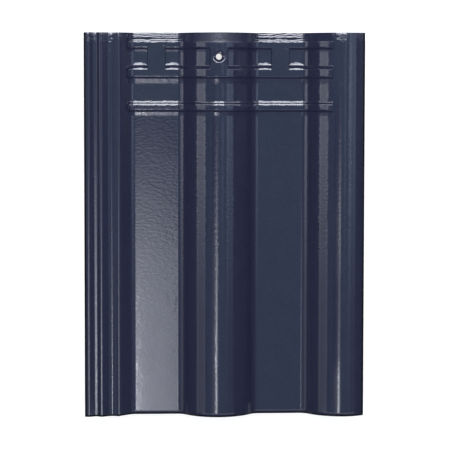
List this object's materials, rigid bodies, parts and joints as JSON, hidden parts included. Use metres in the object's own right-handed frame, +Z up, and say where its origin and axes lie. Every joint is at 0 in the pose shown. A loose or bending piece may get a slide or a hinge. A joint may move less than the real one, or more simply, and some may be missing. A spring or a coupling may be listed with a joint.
{
  "type": "glazed interlocking roof tile",
  "caption": "Pressed clay roof tile with a dark blue glaze: flat pans between low rolls, ribbed side lock, weather bars at the head and a countersunk nail hole.",
  "frame": {"origin": "on the floor under the middle of the tile's overall size", "axes": "+Y up the slope to the head edge, +X across to the cover side, +Z up out of the glazed face"},
  "size_m": [0.3, 0.413, 0.0425],
  "materials": {
    "glazed_tile": "glossy dark blue glaze with a slight orange-peel surface"
  },
  "bodies": {
    "root": {"roof_tile": "glazed_tile"}
  },
  "joints": []
}
